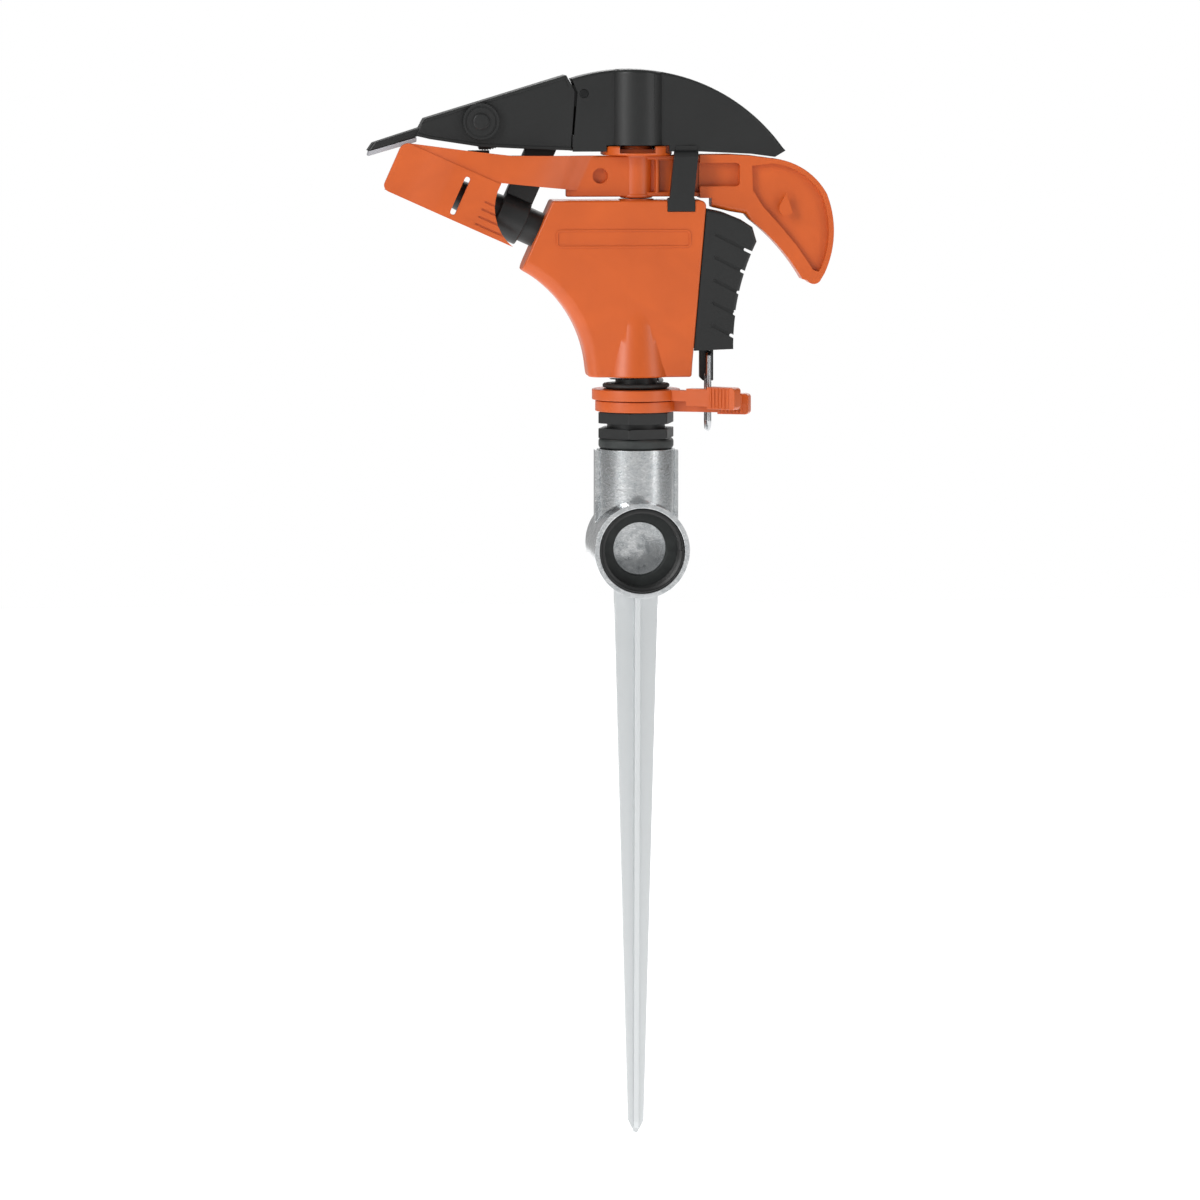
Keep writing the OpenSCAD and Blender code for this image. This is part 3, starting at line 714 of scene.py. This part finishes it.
def makeCap(look):
    # black bridge over the arm: domed cap with its spring case, near and far legs and the nozzle ring
    half, tip = look["half"], look["tip"]
    domeX, domeZ = look["dome"]
    cap = slab("bridgeCap", "side", -10, 10, [
        (-21.9, 149.5), (-20.3, 169.4), (-22.2, 173.86), (domeX, domeZ, -72.4, 32), (50.2, 149.6),
        (46.6, 147.5), (38.3, 148.6), (20, 149.5)])
    combine(cap, slab("plan", "plan", 140, 180, [(-30, -half), (12, -half), (51.5, -tip), (51.5, tip),
                                                 (12, half), (-30, half)]), "INTERSECT")
    roundEdges(cap, lambda at, way: at.z > 150.6 and abs(way.y) < 0.6 and abs(way.z) < 0.9 and at.x > -22
               and math.hypot(at.x - domeX, at.z - domeZ) > 63.2 and abs(at.y) > tip - 0.1, look["edge"], 4)
    case = rod("springCase", look["case"], 151.65, 180, 96)
    combine(case, slab("caseTop", "side", -12, 12, [
        (-14, 150), (-14, 175.95), (domeX, domeZ, -26, 12), (14, 150)]), "INTERSECT")
    roundEdges(case, lambda at, way: at.z > 172 and math.hypot(at.x, at.y) > look["case"] - 0.1, 1.3, 4)
    fuse(cap, case)
    w = look["wall"]
    inside = [(-30, -half + w), (12, -half + w), (49.5, -tip + w), (49.5, tip - w),
              (12, half - w), (-30, half - w)]
    front = slab("frontRoom", "side", -8, 8, [(15, 140), (15, 167), (44.5, 152.5), (44.5, 140)])
    back = slab("backRoom", "side", -8, 8, [
        (-30, 140), (-30, 172.6), (-21, 172.5), (-12, 174.4), (-12, 140)])
    for room in (front, back):
        combine(room, slab("roomPlan", "plan", 130, 190, inside), "INTERSECT")
    cut(cap, rod("cupRoom", 12.6, 140, 151.6, 96), rod("springRoom", 8.9, 140, 168, 72), front, back)
    fuse(cap, rod("pinBoss", 4, 162, 169.5, 48))
    y0, y1 = look["footY"]
    leg = slab("nearLeg", "side", y0, y1, [
        (12.2, 149.8), (20.3, 149.8), (18.7, 134), (19, 134), (19, 129.5),
        (9.9, 129.5), (9.9, 134), (10.6, 134)])
    roundEdges(leg, lambda at, way: at.z > 149.7 and at.y < y0 + 0.1 and abs(way.x) > 0.9, 2.3, 5)
    soften(leg, 0.45, 3)
    fuse(leg, block("legRoot", (12.8, -7.0, 148.6), (19.8, -5.3, 151.4)))
    fuse(cap, leg)
    a0, a1 = look["leg"]
    far = slab("farLeg", "side", -2.5, 4.5, [
        jetPoint(a0, 4), jetPoint(a1, 4), jetPoint(a1, 40), jetPoint(a0, 40)])
    combine(far, block("farLimit", (-60, -10, 120), (0, 10, 154.8)), "INTERSECT")
    soften(far, 0.4, 3)
    ring = rod("nozzleRing", look["ring"], a0, a1, 72)
    soften(ring, 0.4, 3)
    place(ring, alongJet)
    fuse(far, block("farBar", (-39, -2.5, 151), (-19, 4.5, 154.75)), ring,
         block("camShelf", (-56.5, 0, 145.4), (-34.5, 3.6, 148)),
         block("camPad", (-56.5, 0, 145.4), (-49.5, 3.6, 149.8)))
    fuse(far, slab("bridge", "side", -half + 0.02, half - 0.02, [
        (-22, 151), (-13, 151), (-13, 156), (-22, 154.8)]))
    fuse(cap, far)
    bore = rod("ringBore", 6.02, -5, 60, 64)
    place(bore, alongJet)
    pin = rod("flapPinHole", pinHole, -12, 12, 32)
    place(pin, flapFrame)
    cut(cap, bore, rod("fulcrumHole", fulcrumHole, 150, 169, 32), pin)
    return cap


done(makeCap(capLook), blackAcetal, "head", "black_plastic", "top_cap")
print("cap built")


armLook = {"low": 134.3, "top": 148.0, "wall": 1.0, "edge": 0.4,
           "path": [(4, 3), (26, 3), (33, 4.8), (38, 8), (43, 10.1), (48, 11), (54, 11.4), (68, 11.4),
                    (74, 10.6), (82, 8.8), (93.5, 6.8)],
           "vane": [(70, 11), (76, 8.4), (81, 4.4), (85, 0), (88, -5)],
           "grooves": 5, "groovePitch": 2.65, "slot": (64.9, 66.8, 6.8),
           "fin": 5.0, "web": 1.9, "flange": 4.2}


def armOutline(name, y0, y1, low):
    return slab(name, "side", y0, y1, [
        (0, 148), (-42.8, 148.3), (-59.1, 150.2), jetPoint(90.4, 8.4), jetPoint(90.4, -8.5),
        jetPoint(42.7, -8.5), (-31.9, 130.8, -81.3, 8), (0, low)])


def makeHood(look):
    # curved wall of the arm with its splash vane and grooves
    line = smoothLine(look["path"], 5)
    wall = slab("armWall", "plan", -22, 62, band(line, look["wall"], look["wall"]))
    thick = slab("armFlange", "plan", -22, 9, band(line, look["wall"] - 0.2, 1.55))
    fuse(wall, thick)
    place(wall, jetFrame)
    outline = armOutline("hoodOutline", -20, 20, look["low"])
    roundEdges(outline, lambda at, way: abs(way.y) > 0.9 and at.x < -75, 2.2, 5)
    combine(wall, outline, "INTERSECT")
    vane = slab("vane", "plan", -8.5, 4, band(smoothLine(look["vane"], 4), 0.9, 0.9))
    place(vane, jetFrame)
    combine(vane, armOutline("vaneOutline", -20, 20, look["low"]), "INTERSECT")
    soften(wall, look["edge"], 3, 40)
    fuse(wall, vane)
    a0, a1, high = look["slot"]
    slot = block("slot", (a0, 4, -high), (a1, 20, high))
    roundEdges(slot, lambda at, way: abs(way.y) > 0.9, 0.8, 3)
    place(slot, jetFrame)
    cut(wall, slot)
    for i in range(look["grooves"]):
        across = 1.5 - look["groovePitch"] * i
        groove = slab("groove", "plan", across - 0.35, across + 0.35, [
            (45.6, 11.2), (48, 11.8), (53, 12.25), (57.5, 12.5), (57.5, 14), (45.6, 14)])
        place(groove, jetFrame)
        cut(wall, groove)
    return wall


def makeTail(look):
    # right half of the arm: recessed beam, box and round tail
    half = look["fin"]
    fin = slab("impactArm", "side", -half, half, [
        (21, 148.4), (31.5, 148.4), (38.3, 148), (45.42, 147.04), (43.8, 123.9, -58, 14), (64.3, 134.57),
        (32.75, 122.5, -46, 14), (62.24, 106.41), (59.8, 107.3, -130, 10), (55.86, 106.38),
        (-4.1, 71.2, 22.4, 12), (36.4, 128.4), (31, 129.3), (25.1, 130.7), (25.1, 133.8), (21, 133.8)])
    roundEdges(fin, lambda at, way: abs(way.y) < 0.1 and 25.2 < at.x < 37.5 and at.z < 132, 1.6, 5)
    soften(fin, 0.8, 4)
    for side in (-1, 1):
        recess = block("recess", (20, side * half - 2.6, 137.7), (34.6, side * half + 2.6, 145.6))
        roundEdges(recess, lambda at, way: abs(way.y) > 0.9 and at.x > 30, 1.2, 4)
        panel = slab("panel", "side", side * half - 0.6, side * half + 2, [
            (45.3, 145.35), (43.8, 123.9, -58, 14), (62.62, 133.97), (32.75, 122.5, -43, 14),
            (61.4, 108.9), (59.6, 109.4), (53.8, 117.8), (48.3, 124.4), (42.5, 130.8), (39.0, 136.4),
            (38.7, 144.6)])
        cut(fin, recess, panel)
        drop = slab("drop", "side", side * half - 0.8, side * half - 0.1, [
            (50.3, 135.3), (48.2, 131.6), (50.3, 130.3, 180, 14), (50.3, 135.3)])
        fuse(fin, drop)
    beam = block("beamWeb", (0, -look["web"], look["low"]), (22, look["web"], 148.2))
    for z in (look["low"], 146.7):
        fuse(beam, block("beamFlange", (3, -look["flange"], z), (22, look["flange"], z + 1.5)))
    fuse(beam, block("beamRib", (6.2, -look["flange"], 134.5), (7.4, look["flange"], 148)))
    soften(beam, 0.4, 3)
    fuse(fin, beam)
    return fin


def makeArm(look):
    # whole arm: tail, beam root, hood, and the hub with its spring cup
    arm = makeTail(look)
    root = block("armRoot", (-24, -4.5, look["low"]), (-2, -1, look["top"]))
    soften(root, 0.5, 3)
    hub = lathe("hub", [
        (0, 133.8), (5.2, 133.8), (5.6, 134.2), (5.6, 134.9), (5.3, 135.2), (5.3, 147.4), (5.8, 148.2),
        (11.6, 148.2), (12, 148.6), (12, 150.9), (11.6, 151.3), (9.6, 151.3), (9.6, 150.2), (5.4, 150.2),
        (5.4, 151.3), (0, 151.3)], 96)
    cut(hub, block("cupNotch", (-6.4, -13, 149.0), (5.6, -5.9, 152)),
        block("cupWedge", (9.3, -13, 148.9), (10.6, -4.9, 152)))
    soften(hub, 0.2, 2, 40)
    fuse(arm, root, makeHood(look), hub)
    hole = rod("sideHole", 2.6, -7, -2.4, 40)
    place(hole, shifted(-12.5, 0, 141.3) @ alongY)
    cut(arm, hole, rod("hubBore", 3.2, 120, 160, 48))
    return arm


done(makeArm(armLook), orangeAbs, "arm", "orange_plastic", "arm")
print("arm built")


flapLook = {"half": 6.8, "inset": 0.45, "wall": 1.6, "blade": 5.5}


def makeFlap(look):
    # range flap: a hood with a flanged top and rim, and a flat blade at its free end
    half = look["half"]
    inset = half - look["inset"]
    flap = slab("rangeFlap", "side", -inset, inset, [
        (-21.1, 169.6), (-24.1, 175.0), (-71.6, 160.5), (-73.3, 157.6), (-74.6, 154.9), (-69.9, 153.85),
        (-53.6, 151.35), (-38.2, 150.55), (-22.4, 149.95)])
    soften(flap, 0.35, 3)
    top = slab("topFlange", "side", -half, half, [
        (-21.9, 171.1), (-24.1, 175.1), (-50, 167.19), (-71.6, 160.6), (-72.6, 158.9), (-71.8, 159.6),
        (-50, 166.3), (-24.3, 173.9), (-23.0, 171.0)])
    rim = slab("rim", "side", -half, half, [
        (-74.6, 154.9), (-69.9, 153.8), (-53.6, 151.3), (-38.2, 150.5), (-22.4, 149.9), (-22.4, 151.0),
        (-38.2, 151.6), (-53.6, 152.4), (-69.9, 154.9), (-73.9, 155.9)])
    for strip in (top, rim):
        soften(strip, 0.2, 2)
        fuse(flap, strip)
    w = look["wall"]
    room = slab("flapRoom", "side", -half + w, half - w, [
        (-19, 140), (-19, 174.5), (-24.7, 173.2), (-69.3, 159.6), (-71.2, 157), (-71.2, 140)])
    cut(flap, room)
    blade = slab("blade", "side", -look["blade"], look["blade"], [
        (-71.6, 158.4), (-73.1, 157.6), (-88.9, 152.5), (-90.7, 149.9), (-73, 155)])
    roundEdges(blade, lambda at, way: at.x < -88 and abs(at.y) > look["blade"] - 0.1
               and abs(way.y) < 0.1, 1.0, 3)
    soften(blade, 0.2, 2)
    fuse(flap, blade)
    for side in (-1, 1):
        ear = slab("ear", "side", side * 4 - 0.8, side * 4 + 0.8, [
            (-25, 163.5), (-15.6, 166), (-15.6, 170.6), (-25, 172.4)])
        root = slab("earRoot", "side", side * 5 - 0.6, side * 5 + 0.6, [
            (-25.6, 163.5), (-22.2, 164.3), (-22.2, 171.4), (-25.6, 173)])
        fuse(flap, ear, root)
    for at, radius, y0, y1 in ((flapFrame, 1.56, -9, 9), (camFrame, pinHole, -9, 9), (camFrame, 3.46, -9, -3)):
        hole = rod("hole", radius, y0, y1, 40)
        place(hole, at)
        cut(flap, hole)
    return flap


done(makeFlap(flapLook), blackAcetal, "flap", "black_plastic", "flap_lever")
print("flap built")


plateLook = {"half": 5.2, "round": 0.25}
plate = slab("deflectorPlate", "side", -plateLook["half"], plateLook["half"], [
    (-74.25, 154.45), (-90.15, 149.85), (-90.55, 148.12), (-74.25, 152.9)])
soften(plate, plateLook["round"], 2)
done(plate, greyPolypropylene, "flap", "grey_plastic", "deflector_plate")


camLook = {"low": 9.6, "rise": 3.0, "turn": 100, "tooth": 0.35, "toothStep": 2.5,
           "knob": 6.25, "knurls": 40, "hub": 3.4, "bore": 1.56}


def makeCam(look):
    # snail cam with a stepped edge, its hub and a knurled knob
    x, z = camCentre
    steps = round(look["turn"] / look["toothStep"])
    snail = []
    for i in range(steps + 1):
        angle = math.radians(-90 + look["turn"] * i / steps)
        radius = look["low"] + look["rise"] * i / steps - (look["tooth"] if i % 2 else 0)
        snail.append((x + radius * math.cos(angle), z + radius * math.sin(angle)))
    for i in range(13):
        angle = math.radians(40 + 190 * i / 12)
        snail.append((x + 4.2 * math.cos(angle), z + 4.2 * math.sin(angle)))
    cam = slab("camWheel", "side", -3, 4.4, snail)
    rim = []
    for i in range(look["knurls"] * 2):
        angle = math.pi * i / look["knurls"]
        radius = look["knob"] - (0.3 if i % 2 else 0)
        rim.append((x + radius * math.cos(angle), z + radius * math.sin(angle)))
    knob = slab("knob", "side", -8.55, -7.15, rim)
    hub = rod("camHub", look["hub"], -7.4, 0, 48)
    groove = lathe("knobGroove", [(4.7, -8.2), (5.3, -8.2), (5.3, -10), (4.7, -10), (4.7, -8.2)], 64)
    bore = rod("camBore", look["bore"], -12, 12, 40)
    for part in (hub, groove, bore):
        place(part, camFrame)
    fuse(cam, hub, knob)
    cut(cam, groove, bore)
    return cam


done(makeCam(camLook), blackAcetal, "cam_wheel", "black_plastic", "cam_wheel")

axleLook = {"radius": 1.49, "head": 2.7, "low": -9.55, "high": 6.75}
axle = lathe("camAxle", [
    (0, axleLook["low"]), (axleLook["head"] - 0.4, axleLook["low"]), (axleLook["head"], axleLook["low"] + 0.3),
    (axleLook["head"], -8.9), (axleLook["radius"], -8.9), (axleLook["radius"], axleLook["high"] - 0.3),
    (axleLook["radius"] - 0.3, axleLook["high"]), (0, axleLook["high"])], 48)
place(axle, camFrame)
done(axle, blackAcetal, "flap", "black_plastic", "cam_axle")

pinLook = {"radius": 1.48, "half": 6.75}
pin = rod("flapPin", pinLook["radius"], -pinLook["half"], pinLook["half"], 40)
soften(pin, 0.25, 3)
place(pin, flapFrame)
done(pin, blackenedRod, "head", "pin_steel", "flap_pivot_pin")
print("cam, plate and pins built")


coverLook = {"half": 8.2, "wall": 1.6, "edge": 1.1, "pitch": 7.2, "slope": 27, "grooves": 5, "groove": 1.0}


def makeCover(look):
    # black cover over the trip gear, with slanted grooves down its back edge
    half, w = look["half"], look["wall"]
    cover = slab("tripCover", "side", -half, half, [
        (18.9, 82.6), (23.1, 130.2), (29, 129), (34.6, 126.7), (38.6, 124.1), (40.05, 119.2),
        (113.6, 84.1, 26.2, 20)])
    roundEdges(cover, lambda at, way: abs(way.y) < 0.1 and (at.x > 33 or at.z > 124)
               and at.z > 83, look["edge"], 4)
    cut(cover, slab("coverRoom", "side", -half + w, half - w, [
        (10, 80), (10, 140), (28, 140), (28, 126.4), (33.4, 124.6), (37.0, 121.0), (34.2, 111), (32, 100),
        (30.8, 90), (30.3, 80)]))
    thick = look["groove"] / 2
    for i in range(look["grooves"]):
        spot = shifted(37.5 - 1.2 * i, 0, 115.9 - look["pitch"] * i)
        spot = spot @ Matrix.Rotation(math.radians(look["slope"]), 4, "Y")
        groove = block("coverGroove", (-2, -half - 1, -thick), (8, half + 1, thick))
        roundEdges(groove, lambda at, way: abs(way.y) > 0.9 and at.x < 0, 0.45, 3)
        place(groove, spot)
        cut(cover, groove)
        for side in (-1, 1):
            mark = block("coverMark", (-13 + i, side * half - 0.55, -thick), (4, side * half + 0.55, thick))
            roundEdges(mark, lambda at, way: at.x < -5 and abs(way.z) > 0.9, 0.5, 3)
            place(mark, spot)
            cut(cover, mark)
    pin = rod("coverPinHole", pinHole, 20, 34.2, 32)
    place(pin, tripFrame)
    cut(cover, pin)
    return cover


done(makeCover(coverLook), blackAcetal, "head", "black_plastic", "rear_cover")
print("rear cover built")


leverLook = {"half": 1.3, "hub": 3.4, "bottom": 72.1, "bore": 1.56}


def makeLever(look):
    # trip lever with a forked foot round the wire
    half = look["half"]
    lever = slab("leverArm", "side", -half, half, [
        (21.4, look["bottom"] + 1.2), (22.6, look["bottom"]), (26.1, look["bottom"]), (26.1, 105.8),
        (26.9, 110), (27, 128.6), (23.4, 128.6), (23.4, 110), (21.4, 105.8)])
    soften(lever, 0.3, 3)
    hub = rod("leverHub", look["hub"], 21.3, 27.5, 48)
    bore = rod("leverBore", look["bore"], 15, 35, 32)
    for part in (hub, bore):
        place(part, tripFrame)
    fuse(lever, hub)
    wire = rod("wireHole", 1.0, -4, 4, 32)
    place(wire, shifted(wirePivot[0], 0, wirePivot[1]) @ alongY)
    fork = block("fork", (23.0, -2, 70), (25.0, 2, 74.5))
    cut(lever, bore, wire, fork)
    return lever


done(makeLever(leverLook), blackAcetal, "trip_lever", "black_plastic", "trip_lever")

wireLook = {"radius": 0.95, "leg": 3.0, "loop": 58.85, "bend": 1.2}


def makeWire(look):
    # closed loop of bent wire
    x, top = wirePivot
    leg, loop, bend = look["leg"], look["loop"], look["bend"]
    return sweep("wireLoop", look["radius"], (x, 0, top), (90, 0, 0), [
        (0, -leg + bend, 0), ((x, -leg + bend, top - bend), (1, 0, 0), 90, 6), (0, 0, loop - top + bend),
        ((x, 0, loop), (1, 0, 0), 180, 16), (0, 0, top - bend - loop),
        ((x, leg - bend, top - bend), (1, 0, 0), 90, 6), (0, -leg + bend, 0)])


done(makeWire(wireLook), springWire, "trip_bail", "spring_steel", "trip_wire")
print("trip gear built")


# nodes that stay as they are take their finishes here
for node, finish in {"spindle_tube": blackAcetal, "thrust_washers": whiteNylon, "nozzle_seal": nitrileRubber,
                     "fulcrum_pin": groundRod, "arm_spring": springWire, "trip_pivot_pin": groundRod,
                     "trip_spring": springWire, "arm_bushing": whiteNylon}.items():
    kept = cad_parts[node]
    kept.data.materials.clear()
    kept.data.materials.append(finish)


def paper():
    # matt white paper, lit through from below so that it stays white right to its edge
    material, tree = newMaterial("studioPaper")
    surface = addNode(tree, "BsdfPrincipled", {"Base Color": linearColour("#F7F7F7"), "Roughness": 0.9,
                                               "Specular IOR Level": 0.1, "Emission Strength": 0.72,
                                               "Emission Color": (1, 1, 1, 1)})
    addNode(tree, "OutputMaterial", {}, {"Surface": (surface, "BSDF")})
    return material


bpy.ops.object.select_all(action="DESELECT")
bpy.ops.mesh.primitive_plane_add(size=3.6, location=(0, 0, cadLow.z - 0.0002))
floor = bpy.context.object
floor.name = "studioFloor"
floor.data.materials.append(paper())


def addCamera(spot, target, lens):
    bpy.ops.object.camera_add(location=Vector(spot) * mm)
    camera = bpy.context.object
    camera.name = "photoCamera"
    camera.rotation_euler = (Vector(target) - Vector(spot)).to_track_quat("-Z", "Y").to_euler()
    camera.data.sensor_width = 36
    camera.data.lens = lens
    camera.data.clip_end = 100
    bpy.context.scene.camera = camera


addCamera((-195.9, -2144, 212.8), (-12.2, 0, -2.2), 191.6)


def addLight(name, spot, size, power):
    # soft box that faces the object
    bpy.ops.object.light_add(type="AREA", location=Vector(spot) * mm)
    lamp = bpy.context.object
    lamp.name = name
    lamp.data.shape = "RECTANGLE"
    lamp.data.size, lamp.data.size_y = size
    lamp.data.energy = power
    lamp.rotation_euler = (Vector((0, 0, 20)) - Vector(spot)).to_track_quat("-Z", "Y").to_euler()


addLight("keyBox", (-1250, -1000, 750), (0.5, 1.1), 18)
addLight("fillBox", (1200, -900, 500), (0.4, 1.0), 5.5)
addLight("backBox", (500, 1400, 900), (1.2, 1.2), 10)

world = bpy.data.worlds.new("softStudio")
world.use_nodes = True
bpy.context.scene.world = world
tree = world.node_tree
tree.nodes.clear()
# dimmer walls to the left and right, which give round metal its dark edges
at = addNode(tree, "TexCoord")
split = addNode(tree, "SeparateXYZ", {}, {0: (at, "Generated")})
aside = addNode(tree, "Math", {"operation": "ABSOLUTE"}, {0: (split, "X")})
wall = addNode(tree, "MapRange", {"interpolation_type": "SMOOTHSTEP", "From Min": 0.45, "From Max": 0.9,
                                  "To Min": 0.42, "To Max": 0.1}, {"Value": (aside, "Value")})
ray = addNode(tree, "LightPath")
level = addNode(tree, "Mix", {"data_type": "FLOAT", 3: 1.0}, {0: (ray, "Is Camera Ray"), 2: (wall, "Result")})
sky = addNode(tree, "Background", {"Color": (1, 1, 1, 1)}, {"Strength": (level, 0)})
addNode(tree, "OutputWorld", {}, {"Surface": (sky, "Background")})
bpy.context.scene.view_settings.view_transform = "Standard"
print("studio set")
